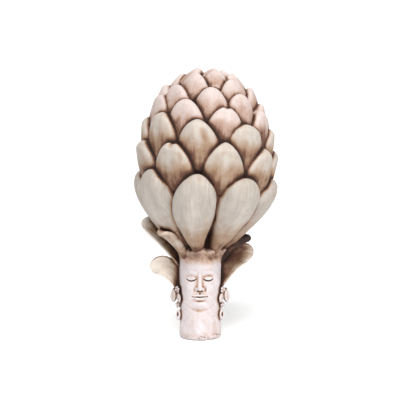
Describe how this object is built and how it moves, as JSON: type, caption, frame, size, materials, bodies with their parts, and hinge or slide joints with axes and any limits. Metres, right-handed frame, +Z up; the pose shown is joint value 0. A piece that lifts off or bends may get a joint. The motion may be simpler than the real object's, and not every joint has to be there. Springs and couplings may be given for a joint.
{
  "type": "artichoke ornament",
  "caption": "Cast-stone artichoke figure with overlapping bracts, curled leaves and a calm face on its stem, standing on the stem's flat foot.",
  "frame": {"origin": "centre of the flat foot of the stem", "axes": "+Z up from the foot to the crown, -Y towards the face's front, +X to the viewer's right"},
  "size_m": [0.1017, 0.1004, 0.1906],
  "materials": {
    "cast_stone": "matte"
  },
  "bodies": {
    "root": {"artichoke_figure": "cast_stone"}
  },
  "joints": []
}
